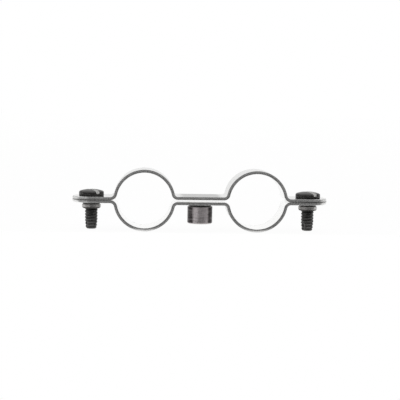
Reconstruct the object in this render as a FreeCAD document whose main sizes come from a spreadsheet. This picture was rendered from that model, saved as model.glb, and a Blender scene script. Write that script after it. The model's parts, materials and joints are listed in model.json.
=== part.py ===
import FreeCAD, Part
import math
import os
import Sketcher

# Driving dimensions, in millimetres and degrees
SIZES = {
    "pipe_diameter": 22.0,
    "ring_spacing": 44.6,
    "screw_spacing": 86.8,
    "strip_width": 15.0,
    "strip_thickness": 1.2,
    "web_gap": 0.9,
    "ear_bend_radius": 1.6,
    "web_bend_radius": 1.2,
    "ear_hole_clearance": 0.4,
    "collar_diameter": 7.5,
    "collar_height": 2.7,
    "collar_neck_inset": 0.4,
    "collar_neck_height": 1.0,
    "collar_rim_radius": 0.5,
    "thread_clearance": 0.05,
    "boss_diameter": 10.0,
    "boss_height": 7.8,
    "boss_neck_inset": 0.55,
    "boss_neck_height": 1.0,
    "boss_edge_chamfer": 0.35,
    "boss_thread_bore": 5.0,
    "boss_mouth_chamfer": 0.4,
    "screw_diameter": 5.0,
    "screw_length": 13.2,
    "screw_tip_diameter": 4.3,
    "screw_tip_length": 3.6,
    "screw_tip_chamfer": 0.4,
    "head_diameter": 9.9,
    "head_height": 2.6,
    "head_side_height": 1.75,
    "head_shoulder_chamfer": 0.6,
    "slot_width": 1.9,
    "slot_floor_width": 1.2,
    "slot_depth": 1.7,
    "left_slot_angle": -57.0,
    "right_slot_angle": -61.0,
}

# Heights shared by the pieces, measured from the mouth of the boss
CONTACT_HEIGHT = "Sizes.boss_height + Sizes.strip_thickness + Sizes.web_gap / 2"
SEAT_HEIGHT = CONTACT_HEIGHT + " + Sizes.strip_thickness"
SCREW_OFFSET = "Sizes.screw_spacing / 2"

START, END, CENTRE = 1, 2, 3
ORIGIN_POINT = (-1, 1)
HORIZONTAL_AXIS = -1
VERTICAL_AXIS = -2
SKETCH_NORMAL = FreeCAD.Vector(0, 0, 1)
POSITION_TOLERANCE = 1e-6

doc = FreeCAD.newDocument("DoublePipeClip")
sheet = doc.addObject("Spreadsheet::Sheet", "Sizes")
for row, (alias, value) in enumerate(SIZES.items(), start=1):
    sheet.set(f"A{row}", alias)
    sheet.set(f"B{row}", str(value))
    sheet.setAlias(f"B{row}", alias)
doc.recompute()


def measure(expression):
    """The present value of an expression in the sheet's sizes."""
    return float(sheet.evalExpression(expression))


def new_body(label):
    body = doc.addObject("PartDesign::Body", label)
    body.Label = label
    return body


def origin_plane(body, role):
    return next(feature for feature in body.Origin.OriginFeatures if feature.Role == role)


def new_sketch(body, name, role):
    sketch = body.newObject("Sketcher::SketchObject", f"{body.Label}_{name}")
    sketch.AttachmentSupport = [(origin_plane(body, role), "")]
    sketch.MapMode = "FlatFace"
    return sketch


def bind(sketch, constraint, expression):
    """Adds a dimension to a sketch and ties it to the sheet."""
    index = sketch.addConstraint(constraint)
    sketch.setExpression(f"Constraints[{index}]", expression)


def pin(sketch, geometry, point, x, y):
    """Holds a sketch point at expressions of the sheet, measured from the sketch's origin."""
    across = Sketcher.Constraint("DistanceX", *ORIGIN_POINT, geometry, point, measure(x))
    bind(sketch, across, x)
    up = Sketcher.Constraint("DistanceY", *ORIGIN_POINT, geometry, point, measure(y))
    bind(sketch, up, y)


def add_arc(sketch, centre, start, end, clockwise):
    """Adds an arc between two points. The arc's own start and end depend on its sense."""
    first, last = (end, start) if clockwise else (start, end)
    circle = Part.Circle(centre, SKETCH_NORMAL, (start - centre).Length)
    angles = [math.atan2(point.y - centre.y, point.x - centre.x) for point in (first, last)]
    return sketch.addGeometry(Part.ArcOfCircle(circle, *angles))


def closed_section(sketch, corners, arcs=None):
    """Draws a closed outline through pinned corners. An arc, if given for the edge after a corner, is
    (centre x, centre y, radius, clockwise)."""
    arcs = arcs or {}
    points = [FreeCAD.Vector(measure(x), measure(y), 0) for x, y in corners]
    count = len(points)
    ends = []
    for i, start in enumerate(points):
        end = points[(i + 1) % count]
        if i in arcs:
            centre_x, centre_y, radius, clockwise = arcs[i]
            centre = FreeCAD.Vector(measure(centre_x), measure(centre_y), 0)
            edge = add_arc(sketch, centre, start, end, clockwise)
            bind(sketch, Sketcher.Constraint("Radius", edge, measure(radius)), radius)
            ends.append((edge, END, START) if clockwise else (edge, START, END))
        else:
            edge = sketch.addGeometry(Part.LineSegment(start, end))
            ends.append((edge, START, END))
    for i, (edge, start, _) in enumerate(ends):
        previous, _, previous_end = ends[i - 1]
        sketch.addConstraint(Sketcher.Constraint("Coincident", previous, previous_end, edge, start))
        pin(sketch, edge, start, *corners[i])


def revolve(body, sketch, name):
    """Turns a section round the sketch's vertical axis."""
    feature = body.newObject("PartDesign::Revolution", f"{body.Label}_{name}")
    feature.Profile = sketch
    feature.ReferenceAxis = (sketch, ["V_Axis"])
    feature.Angle = 360.0
    doc.recompute()
    return feature


def cut_through(body, sketch, name):
    """Cuts a sketch right through the body, both ways from its plane."""
    before = body.Shape.Volume
    feature = body.newObject("PartDesign::Pocket", f"{body.Label}_{name}")
    feature.Profile = sketch
    feature.Midplane = True
    feature.Type = "ThroughAll"
    doc.recompute()
    if not feature.Shape.Volume < before:
        raise RuntimeError(f"{feature.Name} cuts nothing")
    return feature


def strip_outline(body):
    """One half of the bent strip seen along the pipes: web, web bend, half ring, ear bend and ear.

    The outline lies above the plane where the ears of both halves meet. Its thickness is set once, at the
    ear's end, and tangent, concentric arcs carry it along the strip.
    """
    sketch = new_sketch(body, "outline", "XZ_Plane")
    thickness = measure("Sizes.strip_thickness")
    ring_radius = measure("Sizes.pipe_diameter / 2")
    ear_radius = measure("Sizes.ear_bend_radius")
    web_radius = measure("Sizes.web_bend_radius")
    web_level = measure("Sizes.web_gap / 2")
    ring = FreeCAD.Vector(measure("Sizes.ring_spacing / 2"), 0, 0)
    ear_end = measure(SCREW_OFFSET)

    def bend_centre(radius, level, side):
        height = level + thickness + radius
        reach = ring_radius + thickness + radius
        return FreeCAD.Vector(ring.x + side * math.sqrt(reach**2 - height**2), height, 0)

    def on_ring(centre, radius):
        toward = FreeCAD.Vector(centre - ring).normalize()
        return ring + toward * radius

    def line(start, end):
        return sketch.addGeometry(Part.LineSegment(start, end))

    def at(x, y):
        return FreeCAD.Vector(x, y, 0)

    ear = bend_centre(ear_radius, 0, 1)
    web = bend_centre(web_radius, web_level, -1)
    outer_radius = ring_radius + thickness

    web_under = line(at(0, web_level), at(web.x, web_level))
    web_bend_under = add_arc(sketch, web, at(web.x, web_level), on_ring(web, ring_radius), False)
    ring_inside = add_arc(sketch, ring, on_ring(web, ring_radius), on_ring(ear, ring_radius), True)
    ear_bend_under = add_arc(sketch, ear, on_ring(ear, ring_radius), at(ear.x, 0), False)
    ear_under = line(at(ear.x, 0), at(ear_end, 0))
    ear_tip = line(at(ear_end, 0), at(ear_end, thickness))
    ear_top = line(at(ear_end, thickness), at(ear.x, thickness))
    ear_bend_top = add_arc(sketch, ear, at(ear.x, thickness), on_ring(ear, outer_radius), True)
    ring_outside = add_arc(sketch, ring, on_ring(ear, outer_radius), on_ring(web, outer_radius), False)
    web_bend_top = add_arc(sketch, web, on_ring(web, outer_radius), at(web.x, web_level + thickness), True)
    web_top = line(at(web.x, web_level + thickness), at(0, web_level + thickness))
    web_middle = line(at(0, web_level + thickness), at(0, web_level))

    smooth_joins = [
        (web_under, END, web_bend_under, START),
        (web_bend_under, END, ring_inside, END),
        (ring_inside, START, ear_bend_under, START),
        (ear_bend_under, END, ear_under, START),
        (ear_top, END, ear_bend_top, END),
        (ear_bend_top, START, ring_outside, START),
        (ring_outside, END, web_bend_top, END),
        (web_bend_top, START, web_top, START),
    ]
    for join in smooth_joins:
        sketch.addConstraint(Sketcher.Constraint("Tangent", *join))
    corner_joins = [
        (ear_under, END, ear_tip, START),
        (ear_tip, END, ear_top, START),
        (web_top, END, web_middle, START),
        (web_middle, END, web_under, START),
        (web_bend_under, CENTRE, web_bend_top, CENTRE),
        (ear_bend_under, CENTRE, ear_bend_top, CENTRE),
        (ring_inside, CENTRE, ring_outside, CENTRE),
    ]
    for join in corner_joins:
        sketch.addConstraint(Sketcher.Constraint("Coincident", *join))
    for level in (web_under, ear_under, ear_top, web_top):
        sketch.addConstraint(Sketcher.Constraint("Horizontal", level))
    for upright in (ear_tip, web_middle):
        sketch.addConstraint(Sketcher.Constraint("Vertical", upright))
    on_axes = [
        (ring_inside, CENTRE, HORIZONTAL_AXIS),
        (ear_under, END, HORIZONTAL_AXIS),
        (web_under, START, VERTICAL_AXIS),
    ]
    for held in on_axes:
        sketch.addConstraint(Sketcher.Constraint("PointOnObject", *held))

    dimensions = [
        (("DistanceX", *ORIGIN_POINT, ring_inside, CENTRE), "Sizes.ring_spacing / 2"),
        (("DistanceX", *ORIGIN_POINT, ear_under, END), SCREW_OFFSET),
        (("DistanceY", *ORIGIN_POINT, web_under, START), "Sizes.web_gap / 2"),
        (("Radius", ring_inside), "Sizes.pipe_diameter / 2"),
        (("Radius", ear_bend_top), "Sizes.ear_bend_radius"),
        (("Radius", web_bend_top), "Sizes.web_bend_radius"),
        (("DistanceY", ear_tip, START, ear_tip, END), "Sizes.strip_thickness"),
    ]
    for dimension, expression in dimensions:
        bind(sketch, Sketcher.Constraint(*dimension, measure(expression)), expression)
    return sketch


def circle_at_screw(body, name, radius):
    """A circle round the screw's axis, in the plane where the ears meet."""
    sketch = new_sketch(body, name, "XY_Plane")
    centre = FreeCAD.Vector(measure(SCREW_OFFSET), 0, 0)
    circle = sketch.addGeometry(Part.Circle(centre, SKETCH_NORMAL, measure(radius)))
    sketch.addConstraint(Sketcher.Constraint("PointOnObject", circle, CENTRE, HORIZONTAL_AXIS))
    across = Sketcher.Constraint("DistanceX", *ORIGIN_POINT, circle, CENTRE, centre.x)
    bind(sketch, across, SCREW_OFFSET)
    bind(sketch, Sketcher.Constraint("Radius", circle, measure(radius)), radius)
    return sketch


def screw_collar(body):
    """The collar on an ear round the screw, with a groove at its root and a rounded rim. Its bore is cut
    later, through the ear too."""
    sketch = new_sketch(body, "collar_section", "XZ_Plane")
    sketch.setExpression("AttachmentOffset.Base.x", SCREW_OFFSET)
    wall = "Sizes.collar_diameter / 2"
    root = wall + " - Sizes.collar_neck_inset"
    ear_level = "Sizes.strip_thickness"
    neck_level = ear_level + " + Sizes.collar_neck_height"
    rim_level = ear_level + " + Sizes.collar_height"
    rim_x = wall + " - Sizes.collar_rim_radius"
    rim_y = rim_level + " - Sizes.collar_rim_radius"
    corners = [
        ("0", ear_level + " / 2"),
        (root, ear_level + " / 2"),
        (root, neck_level),
        (wall, neck_level),
        (wall, rim_y),
        (rim_x, rim_level),
        ("0", rim_level),
    ]
    rim_edge = 4
    closed_section(sketch, corners, {rim_edge: (rim_x, rim_y, "Sizes.collar_rim_radius", False)})
    return revolve(body, sketch, "collar")


def bent_strip(label, hole_clearance, has_collars):
    """One half of the clip, in its own frame: the ears' meeting face is at height 0 and the rings rise above."""
    body = new_body(label)
    strip = body.newObject("PartDesign::Pad", f"{label}_strip")
    strip.Profile = strip_outline(body)
    strip.Midplane = True
    strip.setExpression("Length", "Sizes.strip_width")
    doc.recompute()

    ear = body.newObject("PartDesign::Pad", f"{label}_ear")
    ear.Profile = circle_at_screw(body, "ear_round", "Sizes.strip_width / 2")
    ear.setExpression("Length", "Sizes.strip_thickness")
    doc.recompute()

    features = [strip, ear]
    if has_collars:
        features.append(screw_collar(body))
    hole_radius = f"Sizes.screw_diameter / 2 + Sizes.{hole_clearance}"
    hole = circle_at_screw(body, "ear_hole", hole_radius)
    features.append(cut_through(body, hole, "ear_cut"))

    other_half = body.newObject("PartDesign::Mirrored", f"{label}_other_half")
    other_half.Originals = features
    other_half.MirrorPlane = (origin_plane(body, "YZ_Plane"), [""])
    body.Tip = other_half
    body.setExpression("Placement.Base.z", CONTACT_HEIGHT)
    doc.recompute()
    return body


def upper_band():
    return bent_strip("upper_band", "ear_hole_clearance", has_collars=False)


def lower_band():
    """The same strip turned over, with the collars that hold the screws."""
    body = bent_strip("lower_band", "thread_clearance", has_collars=True)
    body.Placement.Rotation = FreeCAD.Rotation(FreeCAD.Vector(1, 0, 0), 180)
    doc.recompute()
    return body


def boss():
    """The turned boss under the lower web, with its threaded hole at minor diameter."""
    body = new_body("boss")
    wall = "Sizes.boss_diameter / 2"
    bore = "Sizes.boss_thread_bore / 2"
    neck = wall + " - Sizes.boss_neck_inset"
    neck_level = "Sizes.boss_height - Sizes.boss_neck_height"
    corners = [
        (bore, "Sizes.boss_mouth_chamfer"),
        (bore + " + Sizes.boss_mouth_chamfer", "0"),
        (wall + " - Sizes.boss_edge_chamfer", "0"),
        (wall, "Sizes.boss_edge_chamfer"),
        (wall, neck_level),
        (neck, neck_level),
        (neck, "Sizes.boss_height"),
        (bore, "Sizes.boss_height"),
    ]
    section = new_sketch(body, "section", "XZ_Plane")
    closed_section(section, corners)
    revolve(body, section, "turned")
    return body


def crown_radius():
    """The radius of the head's crown, which rises from the top of its side to the axis."""
    rise = "(Sizes.head_height - Sizes.head_side_height)"
    run = "(Sizes.head_diameter / 2)"
    return f"({rise} ^ 2 + {run} ^ 2) / (2 * {rise})"


def shoulder_edge(shape):
    """The name of the edge where the side of a screw's head meets its crown."""
    radius = measure("Sizes.head_diameter / 2")
    level = measure("Sizes.head_side_height")
    for number, edge in enumerate(shape.Edges, start=1):
        if isinstance(edge.Curve, Part.Circle):
            at_level = abs(edge.Curve.Center.z - level) < POSITION_TOLERANCE
            if at_level and abs(edge.Curve.Radius - radius) < POSITION_TOLERANCE:
                return f"Edge{number}"
    raise RuntimeError("the head has no shoulder edge")


def screw(label, side, slot_angle):
    """A slotted pan-head screw with a tapered tip, in its own frame: the seat of the head is at height 0."""
    body = new_body(label)
    head = "Sizes.head_diameter / 2"
    shank = "Sizes.screw_diameter / 2"
    tip = "Sizes.screw_tip_diameter / 2"
    corners = [
        ("0", "Sizes.head_height"),
        ("0", "-Sizes.screw_length"),
        (tip + " - Sizes.screw_tip_chamfer", "-Sizes.screw_length"),
        (tip, "Sizes.screw_tip_chamfer - Sizes.screw_length"),
        (shank, "Sizes.screw_tip_length - Sizes.screw_length"),
        (shank, "0"),
        (head, "0"),
        (head, "Sizes.head_side_height"),
    ]
    crown_edge = len(corners) - 1
    arcs = {crown_edge: ("0", f"Sizes.head_height - {crown_radius()}", crown_radius(), False)}
    section = new_sketch(body, "section", "XZ_Plane")
    closed_section(section, corners, arcs)
    turned = revolve(body, section, "turned")

    shoulder = body.newObject("PartDesign::Chamfer", f"{label}_shoulder")
    shoulder.Base = (turned, [shoulder_edge(turned.Shape)])
    shoulder.setExpression("Size", "Sizes.head_shoulder_chamfer")
    doc.recompute()

    slot = new_sketch(body, "slot", "YZ_Plane")
    slot_floor = "Sizes.head_height - Sizes.slot_depth"
    slot_corners = [
        ("-Sizes.slot_width / 2", "Sizes.head_height"),
        ("-Sizes.slot_floor_width / 2", slot_floor),
        ("Sizes.slot_floor_width / 2", slot_floor),
        ("Sizes.slot_width / 2", "Sizes.head_height"),
    ]
    closed_section(slot, slot_corners)
    cut_through(body, slot, "slot_cut")

    body.Placement.Rotation = FreeCAD.Rotation(FreeCAD.Vector(0, 0, 1), measure(slot_angle))
    body.setExpression("Placement.Base.x", f"{side} * {SCREW_OFFSET}")
    body.setExpression("Placement.Base.z", SEAT_HEIGHT)
    body.setExpression("Placement.Rotation.Angle", slot_angle)
    doc.recompute()
    return body


bodies = [
    upper_band(),
    lower_band(),
    boss(),
    screw("left_screw", -1, "Sizes.left_slot_angle"),
    screw("right_screw", 1, "Sizes.right_slot_angle"),
]

for item in doc.Objects:
    if "Invalid" in item.State or "Error" in item.State:
        raise RuntimeError(f"{item.Name} failed to build: {item.State}")
for body in bodies:
    if body.Shape.isNull() or not body.Shape.isValid():
        raise RuntimeError(f"{body.Label} has no valid shape")

os.makedirs("parts", exist_ok=True)
for body in bodies:
    body.Shape.exportStep(f"parts/{body.Label}.step")
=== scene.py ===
import json
import math

import bmesh
import bpy
from mathutils import Matrix, Vector


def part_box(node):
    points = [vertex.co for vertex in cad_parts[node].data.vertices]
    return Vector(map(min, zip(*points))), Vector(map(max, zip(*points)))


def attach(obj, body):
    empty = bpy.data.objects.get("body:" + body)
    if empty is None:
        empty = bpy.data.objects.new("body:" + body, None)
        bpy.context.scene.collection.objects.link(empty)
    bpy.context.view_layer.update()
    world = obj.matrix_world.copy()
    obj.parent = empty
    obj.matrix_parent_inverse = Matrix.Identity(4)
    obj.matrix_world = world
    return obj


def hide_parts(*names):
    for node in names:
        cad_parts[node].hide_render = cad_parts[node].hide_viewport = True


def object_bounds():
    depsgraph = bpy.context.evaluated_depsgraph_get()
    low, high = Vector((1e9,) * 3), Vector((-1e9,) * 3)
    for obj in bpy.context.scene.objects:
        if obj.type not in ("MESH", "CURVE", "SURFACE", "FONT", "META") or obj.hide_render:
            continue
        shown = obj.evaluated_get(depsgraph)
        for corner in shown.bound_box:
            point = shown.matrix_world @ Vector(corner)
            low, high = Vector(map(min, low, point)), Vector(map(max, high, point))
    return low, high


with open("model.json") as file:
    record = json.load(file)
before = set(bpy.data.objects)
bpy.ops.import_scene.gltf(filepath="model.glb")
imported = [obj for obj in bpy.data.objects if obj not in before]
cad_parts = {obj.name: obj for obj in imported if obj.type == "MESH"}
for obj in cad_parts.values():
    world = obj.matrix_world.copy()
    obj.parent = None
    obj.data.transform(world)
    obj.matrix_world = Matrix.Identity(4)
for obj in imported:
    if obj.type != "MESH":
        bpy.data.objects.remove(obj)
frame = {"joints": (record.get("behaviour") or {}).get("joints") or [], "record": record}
CAD_LOW, CAD_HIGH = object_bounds()

MM = 0.001

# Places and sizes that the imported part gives, in millimetres
JOINTS = {joint["name"]: joint for joint in frame["joints"]}
MOUNTS = {mount["name"]: mount for mount in frame["record"]["mounts"]}
BAND_LOW, BAND_HIGH = (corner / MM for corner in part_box("upper_band"))
SCREW_LOW, SCREW_HIGH = (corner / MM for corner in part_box("right_screw"))
BOSS_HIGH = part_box("boss")[1] / MM
SCREW_SEAT = Vector(JOINTS["right_screw_turn"]["pos_m"]) / MM
RING_CENTRE = Vector(MOUNTS["right_pipe_seat"]["pos_m"]) / MM
PIPE_RADIUS = MOUNTS["right_pipe_seat"]["dims"]["r_mm"]
BORE_RADIUS = MOUNTS["boss_thread"]["dims"]["r_mm"]

# The strip
CONTACT_HEIGHT = BAND_LOW.z
STRIP_WIDTH = BAND_HIGH.y - BAND_LOW.y
THICKNESS = SCREW_SEAT.z - CONTACT_HEIGHT
WEB_LEVEL = CONTACT_HEIGHT - BOSS_HIGH.z - THICKNESS
WEB_BEND = 1.2
EAR_BEND = 1.6
EDGE_REACH = 0.65
EDGE_ROLL = 0.05
END_ROLL = 0.6
EDGE_BREAK = 0.04
SEAM_BREAK = 0.16
TORN_SHARE = 0.45
EYE_RADIUS = 4.4
EAR_HOLE_RADIUS = 2.9
HOLE_EDGE = 0.15

# The drawn collars of the lower strip
COLLAR_RADIUS = 3.75
COLLAR_ROOT_RADIUS = 3.35
COLLAR_HEIGHT = 2.7
COLLAR_NECK = 1.0
COLLAR_RIM = 0.9
COLLAR_BORE_RADIUS = 2.55
COLLAR_MOUTH = 0.3
GROOVE_EDGE = 0.12

# The screws
SCREW_RADIUS = 2.5
SCREW_LENGTH = SCREW_SEAT.z - SCREW_LOW.z
TIP_RADIUS = 2.15
TIP_LENGTH = 3.6
TIP_CHAMFER = 0.4
SCREW_PITCH = 1.2
THREAD_DEPTH = 0.25
THREAD_RUN_OUT = 1.4
TIP_THREAD_SHARE = 0.7
FLUTE_ANGLE = 175.0
FLUTE_SPAN = 80.0
FLUTE_FLOOR = 1.1
FLUTE_LENGTH = 2.6
HEAD_RADIUS = SCREW_HIGH.x - SCREW_SEAT.x
SEAT_GAP = 0.01
HEAD_HEIGHT = 2.6
HEAD_SIDE_HEIGHT = 1.75
HEAD_SHOULDER = 0.8
HEAD_RIM = 0.15
SLOT_WIDTH = 1.9
SLOT_FLOOR = 1.2
SLOT_DEPTH = 1.7
SLOT_ANGLES = {"left": -57.0, "right": -61.0}

# The boss
BOSS_RADIUS = 5.0
BOSS_NECK_INSET = 0.55
BOSS_NECK = 1.0
BOSS_EDGE = 0.35
BOSS_PITCH = 1.0
BOSS_THREAD_DEPTH = 0.5
BOSS_MOUTH = 0.55

# Shares of a pitch with the depth there, from 0 at the crest to 1 at the root
THREAD_SECTION = ((0.0, 0.0), (0.4, 0.0), (0.54, 0.5), (0.68, 1.0), (0.8, 1.0))
TURN_STEPS = 64
MERGE_DISTANCE = 0.0005
SHARP_ANGLE = math.radians(33)


class Quads:
    """Quads between rows of points, in millimetres, each with a material slot."""

    def __init__(self):
        self.corners = []
        self.faces = []
        self.slots = []

    def add_rows(self, rows, slots=(0,)):
        """Joins each row of points to the next. All rows have the same number of points, and the material
        slots repeat along them."""
        first = len(self.corners)
        width = len(rows[0])
        for row in rows:
            self.corners.extend(row)
        for row_start in range(first, len(self.corners) - width, width):
            for step in range(width - 1):
                corner = row_start + step
                self.faces.append((corner, corner + 1, corner + width + 1, corner + width))
                self.slots.append(slots[step % len(slots)])

    def build(self, name, materials):
        """Makes a closed mesh object whose coinciding corners are shared and whose faces point outwards."""
        mesh = bpy.data.meshes.new(name)
        mesh.from_pydata([Vector(corner) * MM for corner in self.corners], [], self.faces)
        mesh.polygons.foreach_set("material_index", self.slots)
        for material in materials:
            mesh.materials.append(material)
        work = bmesh.new()
        work.from_mesh(mesh)
        bmesh.ops.remove_doubles(work, verts=work.verts, dist=MERGE_DISTANCE * MM)
        bmesh.ops.dissolve_degenerate(work, edges=work.edges, dist=MERGE_DISTANCE * MM)
        bmesh.ops.recalc_face_normals(work, faces=work.faces)
        work.to_mesh(mesh)
        work.free()
        piece = bpy.data.objects.new(name, mesh)
        bpy.context.scene.collection.objects.link(piece)
        return piece


def shade(piece):
    """Smooth shading that keeps the sharp edges and the flat faces between them."""
    piece.data.shade_smooth()
    piece.data.set_sharp_from_angle(angle=SHARP_ANGLE)
    weighted = piece.modifiers.new("weighted_normals", "WEIGHTED_NORMAL")
    weighted.keep_sharp = True


def steps(start, end, count):
    return [start + (end - start) * i / count for i in range(count + 1)]


def arc(centre, radius, start, end, count):
    """Points on an arc between two angles in degrees, in a plane of radius and height."""
    points = []
    for degrees in steps(start, end, count):
        angle = math.radians(degrees)
        points.append((centre[0] + radius * math.cos(angle), centre[1] + radius * math.sin(angle)))
    return points


def turned(profile):
    """Columns of points of a profile of (radius, height) turned about the Z axis."""
    columns = []
    for angle in steps(0, 2 * math.pi, TURN_STEPS):
        columns.append([(r * math.cos(angle), r * math.sin(angle), z) for r, z in profile])
    return columns


def threaded(low, high, pitch, radius_at):
    """Columns of points round a right-hand thread between two heights.

    Each column stands a little higher than the one before, and the last meets the first one pitch up.
    Points beyond an end are brought back to it.
    """
    columns = []
    turns = math.ceil((high - low) / pitch) + 2
    for share_of_turn in steps(0, 1, TURN_STEPS):
        angle = 2 * math.pi * share_of_turn
        column = []
        for turn in range(turns):
            for share, depth in THREAD_SECTION:
                rise = pitch * (turn - 1 + share + share_of_turn)
                height = min(max(low + rise, low), high)
                radius = radius_at(height, angle, depth)
                column.append((radius * math.cos(angle), radius * math.sin(angle), height))
        columns.append(column)
    return columns


# The bent strip

def strip_runs():
    """The strip's middle line from the middle of the web to the ear's end, as runs of (length, turn)."""
    middle = THICKNESS / 2
    web_rise = WEB_LEVEL + THICKNESS + WEB_BEND
    ear_rise = THICKNESS + EAR_BEND
    web_tilt = math.asin(web_rise / (PIPE_RADIUS + THICKNESS + WEB_BEND))
    ear_tilt = math.asin(ear_rise / (PIPE_RADIUS + THICKNESS + EAR_BEND))
    web_turn = math.pi / 2 - web_tilt
    ear_turn = math.pi / 2 - ear_tilt
    ring_turn = web_turn + ear_turn
    web_run = RING_CENTRE.x - web_rise / math.tan(web_tilt)
    ear_start = RING_CENTRE.x + ear_rise / math.tan(ear_tilt)
    return [
        (web_run, 0.0),
        ((WEB_BEND + middle) * web_turn, web_turn),
        ((PIPE_RADIUS + middle) * ring_turn, -ring_turn),
        ((EAR_BEND + middle) * ear_turn, ear_turn),
        (BAND_HIGH.x - ear_start, 0.0),
    ]


STRIP_RUNS = strip_runs()
RUN_STEPS = (3, 10, 52, 10)
FOLD_LINE = sum(length for length, _ in STRIP_RUNS[:-1])
SCREW_LINE = FOLD_LINE + STRIP_RUNS[-1][0] - STRIP_WIDTH / 2
ROWS_ACROSS = 12
SIDE_STEPS = 4
END_STEPS = 32
RINGS_AROUND_EYE = 3
ROLL_STEPS = 6
BREAK_STEPS = 3
RIM_STEPS = 6
MOUTH_STEPS = 4

# Material slots of the strip: rolled inner faces, edges, collars, painted shade in seams and necks, and
# pressed outer faces
ROLLED, SHEARED, TORN, DRAWN, IN_PAINTED_SHADE, PRESSED = range(6)


def bend(along, across, above):
    """Where a point of the flat blank lies once the strip is bent, from the plane where the ears meet."""
    x = 0.0
    z = WEB_LEVEL + THICKNESS / 2
    heading = 0.0
    for length, turn in STRIP_RUNS:
        run = min(along, length)
        turned_by = turn * run / length
        chord = 2 * length / turn * math.sin(turned_by / 2) if turn else run
        x += chord * math.cos(heading + turned_by / 2)
        z += chord * math.sin(heading + turned_by / 2)
        heading += turned_by
        along -= run
    return Vector((x - above * math.sin(heading), across, z + above * math.cos(heading)))


def fold_columns():
    """Distances along the blank, from the web's middle to the ear, where it has a column of points."""
    columns = [0.0]
    for (length, _), count in zip(STRIP_RUNS, RUN_STEPS):
        columns.extend(steps(columns[-1], columns[-1] + length, count)[1:])
    return columns


def edge_section(roll, inner_break):
    """The sheared edge as (out, above), from the outer face to the inner one: rolled over by the shear,
    then burnished, then torn, and broken at the inner face."""
    face = THICKNESS / 2
    rolled = arc((EDGE_REACH - roll, face - roll), roll, 90, 0, ROLL_STEPS)
    torn_from = (EDGE_REACH, TORN_SHARE * (face - roll) - (1 - TORN_SHARE) * (face - inner_break))
    broken = arc((EDGE_REACH - inner_break, inner_break - face), inner_break, 0, -90, BREAK_STEPS)
    return [(0, face)] + rolled + [torn_from] + broken + [(0, -face)]


def plain_eye():
    """The section of a plain screw hole as (radius, above), from the outer face to the inner one."""
    face = THICKNESS / 2
    wall = EAR_HOLE_RADIUS + HOLE_EDGE
    upper = arc((wall, face - HOLE_EDGE), HOLE_EDGE, 90, 180, BREAK_STEPS)
    lower = arc((wall, HOLE_EDGE - face), HOLE_EDGE, 180, 270, BREAK_STEPS)
    section = [(EYE_RADIUS, face)] + upper + lower + [(EYE_RADIUS, -face)]
    return section, [DRAWN] * (len(section) - 1)


def collared_eye():
    """The section of a drawn collar as (radius, above), from the ear's outer face over the collar to the
    inner face. Its neck and the underside of its rim carry painted shade."""
    face = THICKNESS / 2
    top = face + COLLAR_HEIGHT
    rim = arc((COLLAR_RADIUS - COLLAR_RIM, top - COLLAR_RIM), COLLAR_RIM, 0, 90, RIM_STEPS)
    mouth_centre = (COLLAR_BORE_RADIUS + COLLAR_MOUTH, COLLAR_MOUTH - face)
    mouth = arc(mouth_centre, COLLAR_MOUTH, 180, 270, MOUTH_STEPS)
    section = [
        (EYE_RADIUS, face),
        (COLLAR_ROOT_RADIUS, face),
        (COLLAR_ROOT_RADIUS, face + COLLAR_NECK),
        (COLLAR_RADIUS - GROOVE_EDGE, face + COLLAR_NECK),
        (COLLAR_RADIUS, face + COLLAR_NECK + GROOVE_EDGE),
        *rim,
        (COLLAR_BORE_RADIUS + HOLE_EDGE, top),
        (COLLAR_BORE_RADIUS, top - HOLE_EDGE),
        *mouth,
        (EYE_RADIUS, -face),
    ]
    # The neck, most of the rim's rounding and the collar's end face carry painted shade
    slots = [PRESSED, IN_PAINTED_SHADE] + [DRAWN] * 4 + [IN_PAINTED_SHADE] * (RIM_STEPS + 1)
    slots += [DRAWN] * (len(section) - 1 - len(slots))
    return section, slots


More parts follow.
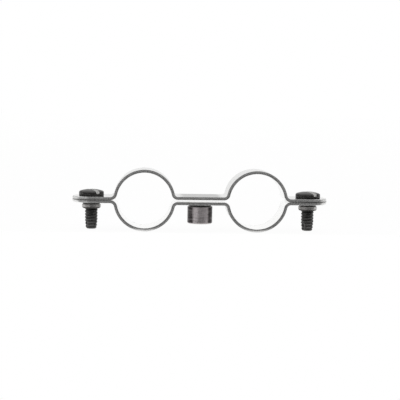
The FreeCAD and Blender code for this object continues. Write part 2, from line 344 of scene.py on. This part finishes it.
def band(name, fold_up, eye, materials):
    """One half of the clip: a blank with two eyes, bent upwards (1) or downwards (-1) from the plane where
    the ears meet."""
    face = THICKNESS / 2
    reach = STRIP_WIDTH / 2 - EDGE_REACH
    columns = fold_columns()
    across = steps(-reach, reach, ROWS_ACROSS)
    plain = edge_section(EDGE_ROLL, EDGE_BREAK)
    straight = [(along, plain) for along in columns]
    for share in steps(0, 1, SIDE_STEPS)[1:-1]:
        opening = edge_section(EDGE_ROLL, EDGE_BREAK + (SEAM_BREAK - EDGE_BREAK) * share)
        straight.append((FOLD_LINE + (SCREW_LINE - FOLD_LINE) * share, opening))
    near_side = [((along, -reach), (0, -1), section) for along, section in straight]
    round_end = []
    for angle in steps(0, math.pi, END_STEPS):
        out = (math.sin(angle), -math.cos(angle))
        endwise = out[0] ** 2
        roll = EDGE_ROLL + (END_ROLL - EDGE_ROLL) * endwise
        opening = SEAM_BREAK + (EDGE_BREAK - SEAM_BREAK) * endwise
        section = edge_section(roll, opening)
        round_end.append(((SCREW_LINE + reach * out[0], reach * out[1]), out, section))
    far_side = [((along, reach), (0, 1), section) for along, section in reversed(straight)]
    outline = near_side + round_end + far_side
    around_eye = [point for point, _, _ in outline if point[0] >= FOLD_LINE]
    around_eye += [(FOLD_LINE, side) for side in reversed(across[:-1])]
    eye_angles = [math.atan2(side, along - SCREW_LINE) for along, side in around_eye]

    flat = [[(along, side) for side in across] for along in columns]
    rings = []
    for share in steps(0, 1, RINGS_AROUND_EYE):
        ring = []
        for (along, side), angle in zip(around_eye, eye_angles):
            rim = (SCREW_LINE + EYE_RADIUS * math.cos(angle), EYE_RADIUS * math.sin(angle))
            ring.append((rim[0] + (along - rim[0]) * share, rim[1] + (side - rim[1]) * share))
        rings.append(ring)

    sheets = []
    for grid in (flat, rings):
        for above, slot in ((face, PRESSED), (-face, ROLLED)):
            sheets.append(([slot], [[(along, side, above) for along, side in row] for row in grid]))
    edges = []
    for (along, side), (out_along, out_side), section in outline:
        edges.append([(along + out_along * out, side + out_side * out, above) for out, above in section])
    folded = len(columns)
    # Along the ears, where the two ears meet, the inner break carries painted shade; along the folds it is
    # torn steel
    rims = (
        (edges[:folded], TORN),
        (edges[folded - 1:1 - folded], IN_PAINTED_SHADE),
        (edges[-folded:], TORN),
    )
    for rows, break_slot in rims:
        slots = [PRESSED] + [SHEARED] * (ROLL_STEPS + 1) + [TORN] + [break_slot] * BREAK_STEPS + [ROLLED]
        sheets.append((slots, rows))
    eye_section, eye_slots = eye
    eye_rows = []
    for angle in eye_angles:
        cos, sin = math.cos(angle), math.sin(angle)
        eye_rows.append([(SCREW_LINE + r * cos, r * sin, above) for r, above in eye_section])
    sheets.append((eye_slots, eye_rows))

    quads = Quads()
    for side in (1, -1):
        for slots, rows in sheets:
            placed = []
            for row in rows:
                points = [bend(*point) for point in row]
                placed.append([(side * p.x, p.y, CONTACT_HEIGHT + fold_up * p.z) for p in points])
            quads.add_rows(placed, slots)
    piece = quads.build(name, materials)
    shade(piece)
    return piece


# The screws

DARK, BARE, LIT_FLANK = range(3)
# The upward-facing flanks next to the crests take a lighter steel as a painted highlight
FLANK_SLOTS = (DARK, LIT_FLANK, DARK, DARK, DARK)
SHOULDER_STEPS = 8
CROWN_STEPS = 10


def flute_limit(height, angle):
    """How far the screw reaches where the cutting flute is milled out of its tip."""
    past = math.degrees(angle - math.radians(FLUTE_ANGLE)) % 360
    if past > FLUTE_SPAN:
        return SCREW_RADIUS
    run_out = max(0.0, height - FLUTE_LENGTH)
    return FLUTE_FLOOR + (SCREW_RADIUS - FLUTE_FLOOR) * past / FLUTE_SPAN + run_out


def screw_radius(below_seat, angle, depth):
    """The screw's radius at a height from its seat: tapered at the tip, with a thread that runs out under
    the head."""
    height = below_seat + SCREW_LENGTH
    crest = min(SCREW_RADIUS, TIP_RADIUS + (SCREW_RADIUS - TIP_RADIUS) * height / TIP_LENGTH)
    cut = min(1.0, TIP_THREAD_SHARE + height / TIP_LENGTH, max(0.0, -below_seat / THREAD_RUN_OUT))
    chamfered = TIP_RADIUS - TIP_CHAMFER + height
    return min(crest - THREAD_DEPTH * depth * cut, chamfered, flute_limit(height, angle))


def head_profile():
    """A pan head with a rounded shoulder between its side and its shallow crown."""
    rise = HEAD_HEIGHT - HEAD_SIDE_HEIGHT
    crown_radius = (rise**2 + HEAD_RADIUS**2) / (2 * rise)
    crown_centre = HEAD_HEIGHT - crown_radius
    shoulder_x = HEAD_RADIUS - HEAD_SHOULDER
    shoulder_up = math.sqrt((crown_radius - HEAD_SHOULDER)**2 - shoulder_x**2)
    crown_angle = math.degrees(math.atan2(shoulder_up, shoulder_x))
    shoulder = arc((shoulder_x, crown_centre + shoulder_up), HEAD_SHOULDER, 0, crown_angle, SHOULDER_STEPS)
    crown = arc((0, crown_centre), crown_radius, crown_angle, 90, CROWN_STEPS)
    seat = [(SCREW_RADIUS, SEAT_GAP), (HEAD_RADIUS - HEAD_RIM, SEAT_GAP), (HEAD_RADIUS, HEAD_RIM)]
    return seat + shoulder + crown[1:]


def slot_cutter(angle, material):
    """A wedge in the shape of the drafted slot, which reaches well past the head at its ends and above."""
    reach = HEAD_RADIUS * 1.5
    low, high = HEAD_HEIGHT - SLOT_DEPTH, HEAD_HEIGHT * 2
    draft = (SLOT_WIDTH - SLOT_FLOOR) / 2 / SLOT_DEPTH
    floor = SLOT_FLOOR / 2
    top = floor + draft * (high - low)
    section = [(-floor, low), (floor, low), (top, high), (-top, high)]
    quads = Quads()
    quads.add_rows([[(x, y, z) for y, z in section + section[:1]] for x in (-reach, reach)])
    for x in (-reach, reach):
        quads.add_rows([[(x, -floor, low), (x, floor, low)], [(x, -top, high), (x, top, high)]])
    cutter = quads.build("slot_cutter", [material])
    cutter.rotation_euler.z = math.radians(angle)
    return cutter


def carve(piece, cutter):
    """Cuts one closed mesh out of another and removes the cutter."""
    cut = piece.modifiers.new("cut", "BOOLEAN")
    cut.operation = "DIFFERENCE"
    cut.solver = "EXACT"
    cut.material_mode = "TRANSFER"
    cut.object = cutter
    seen = piece.evaluated_get(bpy.context.evaluated_depsgraph_get())
    carved = bpy.data.meshes.new_from_object(seen)
    piece.modifiers.clear()
    piece.data = carved
    bpy.data.objects.remove(cutter)


def screw(side, towards, materials):
    """A thread-cutting screw with a slotted pan head, standing in its place in the clip."""
    tip_end = -SCREW_LENGTH
    quads = Quads()
    quads.add_rows(threaded(tip_end, SEAT_GAP, SCREW_PITCH, screw_radius), FLANK_SLOTS)
    quads.add_rows(turned(head_profile()))
    tip_rim = []
    for angle in steps(0, 2 * math.pi, TURN_STEPS):
        radius = screw_radius(tip_end, angle, 0.0)
        tip_rim.append([(radius * math.cos(angle), radius * math.sin(angle), tip_end), (0, 0, tip_end)])
    quads.add_rows(tip_rim)
    piece = quads.build(f"{side}_slotted_screw", materials)
    carve(piece, slot_cutter(SLOT_ANGLES[side], materials[BARE]))
    shade(piece)
    piece.location = Vector((towards * SCREW_SEAT.x, 0, SCREW_SEAT.z)) * MM
    return piece


# The boss

TURNED, SHADED_NECK, FACED = range(3)
# The neck wall and the top face under the web carry painted shade
BOSS_SLOTS = (FACED, FACED, TURNED, FACED, FACED, SHADED_NECK, SHADED_NECK)


def bore_radius(height, angle, depth):
    """The tapped bore: crests at its minor diameter, opened out by the chamfer at its mouth."""
    cut = min(1.0, (BOSS_HIGH.z - height) / BOSS_PITCH)
    mouth = BORE_RADIUS + BOSS_MOUTH - height
    return max(BORE_RADIUS + BOSS_THREAD_DEPTH * depth * cut, mouth)


def boss(name, materials):
    """A turned boss with a neck under the web and a tapped bore."""
    top = BOSS_HIGH.z
    outside = [
        (BORE_RADIUS + BOSS_MOUTH, 0),
        (BOSS_RADIUS - BOSS_EDGE, 0),
        (BOSS_RADIUS, BOSS_EDGE),
        (BOSS_RADIUS, top - BOSS_NECK - GROOVE_EDGE),
        (BOSS_RADIUS - GROOVE_EDGE, top - BOSS_NECK),
        (BOSS_RADIUS - BOSS_NECK_INSET, top - BOSS_NECK),
        (BOSS_RADIUS - BOSS_NECK_INSET, top),
        (BORE_RADIUS, top),
    ]
    quads = Quads()
    quads.add_rows(turned(outside), BOSS_SLOTS)
    quads.add_rows(threaded(0.0, top, BOSS_PITCH, bore_radius), (FACED,))
    piece = quads.build(name, materials)
    shade(piece)
    return piece


# Finishes

# The range that most values of a noise lie in
NOISE_LOW, NOISE_HIGH = 0.3, 0.7
NOISE_DETAIL = 3.0


class Finish:
    """A metal whose colour, roughness and relief come from noises, and some painted shade, in the piece's
    own space.
    """

    def __init__(self, name):
        self.material = bpy.data.materials.new(name)
        self.material.use_nodes = True
        self.nodes = self.material.node_tree.nodes
        self.links = self.material.node_tree.links
        self.shader = self.nodes["Principled BSDF"]
        self.shader.inputs["Metallic"].default_value = 1.0
        self.place = self.nodes.new("ShaderNodeTexCoord")
        self.normal = None

    def noise(self, per_mm):
        """A noise with the given number of grains to the millimetre along X, Y and Z."""
        mapping = self.nodes.new("ShaderNodeMapping")
        mapping.inputs["Scale"].default_value = Vector(per_mm) / MM
        texture = self.nodes.new("ShaderNodeTexNoise")
        texture.inputs["Scale"].default_value = 1.0
        texture.inputs["Detail"].default_value = NOISE_DETAIL
        self.links.new(self.place.outputs["Object"], mapping.inputs["Vector"])
        self.links.new(mapping.outputs["Vector"], texture.inputs["Vector"])
        return texture.outputs["Fac"]

    def middle(self, full, none):
        """A share that falls from 1 to 0 between two distances in millimetres from the piece's YZ plane."""
        split = self.nodes.new("ShaderNodeSeparateXYZ")
        distance = self.nodes.new("ShaderNodeMath")
        distance.operation = "ABSOLUTE"
        fall = self.nodes.new("ShaderNodeMapRange")
        fall.interpolation_type = "SMOOTHSTEP"
        fall.inputs["From Min"].default_value = full * MM
        fall.inputs["From Max"].default_value = none * MM
        fall.inputs["To Min"].default_value = 1.0
        fall.inputs["To Max"].default_value = 0.0
        self.links.new(self.place.outputs["Object"], split.inputs["Vector"])
        self.links.new(split.outputs["X"], distance.inputs[0])
        self.links.new(distance.outputs["Value"], fall.inputs["Value"])
        return fall.outputs["Result"]

    def blend(self, first, second, share):
        """The given share of the second source with the rest of the first."""
        both = self.nodes.new("ShaderNodeMix")
        both.inputs["Factor"].default_value = share
        self.links.new(first, both.inputs["A"])
        self.links.new(second, both.inputs["B"])
        return both.outputs["Result"]

    def colour(self, source, low, high):
        ramp = self.nodes.new("ShaderNodeValToRGB")
        for stop, position, colour in zip(ramp.color_ramp.elements, (NOISE_LOW, NOISE_HIGH), (low, high)):
            stop.position = position
            stop.color = (*colour, 1)
        self.links.new(source, ramp.inputs["Fac"])
        self.links.new(ramp.outputs["Color"], self.shader.inputs["Base Color"])

    def roughness(self, source, low, high):
        spread = self.nodes.new("ShaderNodeMapRange")
        spread.inputs["From Min"].default_value = NOISE_LOW
        spread.inputs["From Max"].default_value = NOISE_HIGH
        spread.inputs["To Min"].default_value = low
        spread.inputs["To Max"].default_value = high
        self.links.new(source, spread.inputs["Value"])
        self.links.new(spread.outputs["Result"], self.shader.inputs["Roughness"])

    def relief(self, source, height):
        """Adds marks of the given height in millimetres to the surface."""
        bump = self.nodes.new("ShaderNodeBump")
        bump.inputs["Strength"].default_value = 1.0
        bump.inputs["Distance"].default_value = height * MM
        self.links.new(source, bump.inputs["Height"])
        if self.normal:
            self.links.new(self.normal, bump.inputs["Normal"])
        self.normal = bump.outputs["Normal"]
        self.links.new(self.normal, self.shader.inputs["Normal"])


def rolled_steel():
    finish = Finish("rolled_steel")
    rolling_lines = finish.noise((0.04, 5.0, 0.04))
    bloom = finish.noise((0.25, 0.25, 0.25))
    finish.colour(bloom, (0.9, 0.9, 0.89), (0.94, 0.94, 0.93))
    finish.roughness(rolling_lines, 0.12, 0.2)
    finish.relief(rolling_lines, 0.002)
    return finish.material


def pressed_steel():
    finish = Finish("pressed_steel")
    rubbing = finish.noise((0.1, 3.0, 0.1))
    # Painted shade: the outer faces darken across the web, within about 6 to 9.4 mm of the YZ plane; the
    # rubbing noise varies the tone
    painted_shade_zone = finish.middle(6.0, 9.4)
    rubbing_and_painted_shade = finish.blend(painted_shade_zone, rubbing, share=0.6)
    finish.colour(rubbing_and_painted_shade, (0.62, 0.62, 0.612), (0.42, 0.42, 0.415))
    finish.roughness(rubbing_and_painted_shade, 0.16, 0.32)
    finish.relief(rubbing, 0.002)
    return finish.material


def sheared_steel():
    finish = Finish("sheared_steel")
    tearing = finish.noise((1.2, 0.6, 1.2))
    stains = finish.noise((0.3, 0.3, 0.3))
    finish.colour(stains, (0.74, 0.74, 0.73), (0.86, 0.86, 0.85))
    finish.roughness(tearing, 0.2, 0.34)
    finish.relief(tearing, 0.0015)
    return finish.material


def torn_steel():
    finish = Finish("torn_steel")
    tearing = finish.noise((1.6, 1.6, 1.6))
    finish.colour(tearing, (0.52, 0.52, 0.51), (0.64, 0.64, 0.63))
    finish.roughness(tearing, 0.26, 0.4)
    finish.relief(tearing, 0.003)
    return finish.material


def drawn_steel():
    finish = Finish("drawn_steel")
    drawing_lines = finish.noise((3.0, 3.0, 0.3))
    stains = finish.noise((0.4, 0.4, 0.4))
    finish.colour(stains, (0.42, 0.41, 0.4), (0.54, 0.53, 0.52))
    finish.roughness(drawing_lines, 0.26, 0.4)
    finish.relief(drawing_lines, 0.004)
    return finish.material


def painted_shade_steel():
    # A near-black steel that paints the shade in necks, under collar rims and between the ears, with noise
    # in its tone
    finish = Finish("painted_shade_steel")
    shade_paint = finish.noise((1.5, 1.5, 1.5))
    finish.colour(shade_paint, (0.05, 0.048, 0.046), (0.12, 0.116, 0.112))
    finish.roughness(shade_paint, 0.4, 0.6)
    finish.relief(shade_paint, 0.004)
    return finish.material


def turned_steel():
    finish = Finish("turned_steel")
    tool_marks = finish.noise((0.05, 0.05, 4.0))
    rings = finish.noise((0.12, 0.12, 1.1))
    # Painted shade: beyond about 2.35 to 3.5 mm from the YZ plane the flanks turn almost black; the middle
    # keeps the pale turned steel
    clear_of_painted_shade = finish.middle(2.35, 3.5)
    rings_and_painted_shade = finish.blend(clear_of_painted_shade, rings, share=0.6)
    finish.colour(rings_and_painted_shade, (0.06, 0.053, 0.055), (0.78, 0.72, 0.73))
    finish.roughness(tool_marks, 0.26, 0.36)
    finish.relief(tool_marks, 0.004)
    return finish.material


def faced_steel():
    finish = Finish("faced_steel")
    tool_marks = finish.noise((2.0, 2.0, 2.0))
    finish.colour(tool_marks, (0.5, 0.47, 0.47), (0.66, 0.62, 0.62))
    finish.roughness(tool_marks, 0.3, 0.45)
    finish.relief(tool_marks, 0.003)
    return finish.material


def dark_steel():
    finish = Finish("dark_steel")
    film = finish.noise((0.5, 0.5, 0.5))
    grain = finish.noise((3.0, 3.0, 3.0))
    finish.colour(film, (0.055, 0.054, 0.053), (0.1, 0.098, 0.096))
    finish.roughness(film, 0.38, 0.5)
    finish.relief(grain, 0.002)
    finish.shader.inputs["Coat Weight"].default_value = 0.08
    finish.shader.inputs["Coat Roughness"].default_value = 0.15
    return finish.material


def painted_highlight_steel():
    # A lighter steel that paints a highlight on the thread's upward-facing flanks, with patchy noise in its
    # tone
    finish = Finish("painted_highlight_steel")
    sheen_patches = finish.noise((0.8, 0.8, 2.0))
    finish.colour(sheen_patches, (0.14, 0.14, 0.137), (0.22, 0.22, 0.216))
    finish.roughness(sheen_patches, 0.25, 0.4)
    finish.relief(sheen_patches, 0.004)
    return finish.material


def bare_steel():
    finish = Finish("bare_steel")
    saw_marks = finish.noise((0.3, 0.3, 6.0))
    finish.colour(saw_marks, (0.6, 0.6, 0.59), (0.72, 0.72, 0.71))
    finish.roughness(saw_marks, 0.25, 0.38)
    finish.relief(saw_marks, 0.004)
    return finish.material


# The stage

# The share of plain white that the sheet shows to the camera and in reflections
SHEET_WHITE = 0.96

# How pale the card is at each angle from the front, in degrees
CARD_TONES = (
    (-160, 1.0), (-130, 0.9), (-96, 0.7), (-70, 0.52), (-52, 0.62), (-28, 0.62), (-18, 0.29),
    (30, 0.29), (42, 0.38), (74, 0.36), (96, 0.56), (115, 0.75), (150, 1.0),
)
CARD_STEPS = 62


def stage_sheet(name, rows, material):
    """A sheet beside the part, made from rows of points."""
    quads = Quads()
    quads.add_rows(rows)
    sheet = quads.build(name, [material])
    return sheet


def pale_floor():
    """A white sheet under the clip that ends just in front of it and shows almost white itself."""
    material = bpy.data.materials.new("white_sheet")
    material.use_nodes = True
    nodes = material.node_tree.nodes
    links = material.node_tree.links
    nodes.remove(nodes["Principled BSDF"])
    paper = nodes.new("ShaderNodeBsdfDiffuse")
    paper.inputs["Color"].default_value = (0.95, 0.95, 0.95, 1)
    glow = nodes.new("ShaderNodeEmission")
    glow.inputs["Strength"].default_value = 1.0
    path = nodes.new("ShaderNodeLightPath")
    seen = path.outputs["Is Camera Ray"]
    for kind in ("Is Glossy Ray", "Is Transmission Ray"):
        either = nodes.new("ShaderNodeMath")
        either.operation = "MAXIMUM"
        links.new(seen, either.inputs[0])
        links.new(path.outputs[kind], either.inputs[1])
        seen = either.outputs["Value"]
    share = nodes.new("ShaderNodeMath")
    share.operation = "MULTIPLY"
    share.inputs[1].default_value = SHEET_WHITE
    both = nodes.new("ShaderNodeMixShader")
    links.new(seen, share.inputs[0])
    links.new(share.outputs["Value"], both.inputs["Fac"])
    links.new(paper.outputs["BSDF"], both.inputs[1])
    links.new(glow.outputs["Emission"], both.inputs[2])
    links.new(both.outputs["Shader"], nodes["Material Output"].inputs["Surface"])
    front, back, side = -12, 3000, 1500
    level = CAD_LOW.z / MM
    stage_sheet("floor", [[(x, front, level), (x, back, level)] for x in (-side, side)], material)


def dark_card():
    """A card bent round the front of the clip, which its front reflects: dark behind the camera, paler to
    the sides. The camera itself doesn't see it."""
    material = bpy.data.materials.new("dark_card")
    material.use_nodes = True
    nodes = material.node_tree.nodes
    links = material.node_tree.links
    shader = nodes["Principled BSDF"]
    shader.inputs["Roughness"].default_value = 0.9
    shader.inputs["Specular IOR Level"].default_value = 0.0
    place = nodes.new("ShaderNodeTexCoord")
    front = nodes.new("ShaderNodeMapping")
    front.inputs["Rotation"].default_value = (0, 0, math.pi / 2)
    round_about = nodes.new("ShaderNodeTexGradient")
    round_about.gradient_type = "RADIAL"
    tone = nodes.new("ShaderNodeValToRGB")
    for _ in CARD_TONES[2:]:
        tone.color_ramp.elements.new(0.5)
    for stop, (degrees, level) in zip(tone.color_ramp.elements, CARD_TONES):
        stop.position = 0.5 + degrees / 360
        stop.color = (level, level, level, 1)
    links.new(place.outputs["Object"], front.inputs["Vector"])
    links.new(front.outputs["Vector"], round_about.inputs["Vector"])
    links.new(round_about.outputs["Fac"], tone.inputs["Fac"])
    links.new(tone.outputs["Color"], shader.inputs["Base Color"])
    away, low, high = 1200, -1300, 900
    rows = []
    for degrees in steps(CARD_TONES[0][0], CARD_TONES[-1][0], CARD_STEPS):
        angle = math.radians(degrees)
        x, y = away * math.sin(angle), -away * math.cos(angle)
        rows.append([(x, y, low), (x, y, high)])
    card = stage_sheet("dark_card", rows, material)
    card.visible_camera = False


def white_world():
    world = bpy.data.worlds.new("white_room")
    world.use_nodes = True
    world.node_tree.nodes["Background"].inputs["Color"].default_value = (1, 1, 1, 1)
    bpy.context.scene.world = world


def camera():
    """The photograph's view: almost level, from the front and a little to the left."""
    distance = 470 * MM
    azimuth = math.radians(-3.0)
    elevation = math.radians(5.0)
    roll = math.radians(0.95)
    aim = Vector((-0.02, 0, 9.29)) * MM
    focal_length = 105.5
    back = Vector((
        math.sin(azimuth) * math.cos(elevation),
        -math.cos(azimuth) * math.cos(elevation),
        math.sin(elevation),
    ))
    data = bpy.data.cameras.new("camera")
    data.lens = focal_length
    data.sensor_width = 36
    data.clip_start = 10 * MM
    data.clip_end = 50
    seen_by = bpy.data.objects.new("camera", data)
    bpy.context.scene.collection.objects.link(seen_by)
    turn = (-back).to_track_quat("-Z", "Y").to_matrix() @ Matrix.Rotation(roll, 3, "Z")
    seen_by.matrix_world = Matrix.Translation(aim + back * distance) @ turn.to_4x4()
    bpy.context.scene.camera = seen_by


def dress(piece, body, node):
    """Puts a piece in the place of a node of the part, and on its body."""
    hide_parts(node)
    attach(piece, body)


camera()
white_world()
pale_floor()
dark_card()
shade_paint = painted_shade_steel()
strip_finishes = [rolled_steel(), sheared_steel(), torn_steel(), drawn_steel(), shade_paint, pressed_steel()]
screw_finishes = [dark_steel(), bare_steel(), painted_highlight_steel()]
dress(band("upper_strip", 1, plain_eye(), strip_finishes), "upper_half", "upper_band")
dress(band("lower_strip", -1, collared_eye(), strip_finishes), "lower_half", "lower_band")
dress(boss("tapped_boss", [turned_steel(), shade_paint, faced_steel()]), "lower_half", "boss")
for side, towards in (("left", -1), ("right", 1)):
    dress(screw(side, towards, screw_finishes), f"{side}_screw", f"{side}_screw")
bpy.context.scene.view_settings.view_transform = "Standard"
